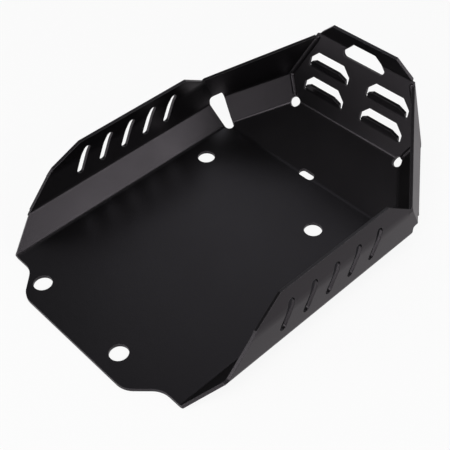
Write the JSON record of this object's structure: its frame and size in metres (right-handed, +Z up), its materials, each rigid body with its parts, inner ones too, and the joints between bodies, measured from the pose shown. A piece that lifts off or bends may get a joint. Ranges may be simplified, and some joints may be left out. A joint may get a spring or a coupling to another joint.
{
  "type": "motorcycle skid plate",
  "caption": "Folded sheet-metal tray that bolts under a motorcycle engine, with sloping sides, slotted walls and a raised louvred nose.",
  "frame": {"origin": "on the centre plane, on the underside of the floor, level with the rear ends of the floor's side folds", "axes": "+X forward to the nose, +Y to the left, +Z up"},
  "size_m": [0.3683, 0.2684, 0.1237],
  "materials": {
    "powder_coat": "satin black powder coat on folded aluminium sheet"
  },
  "bodies": {
    "root": {"skid_plate": "powder_coat"}
  },
  "joints": []
}
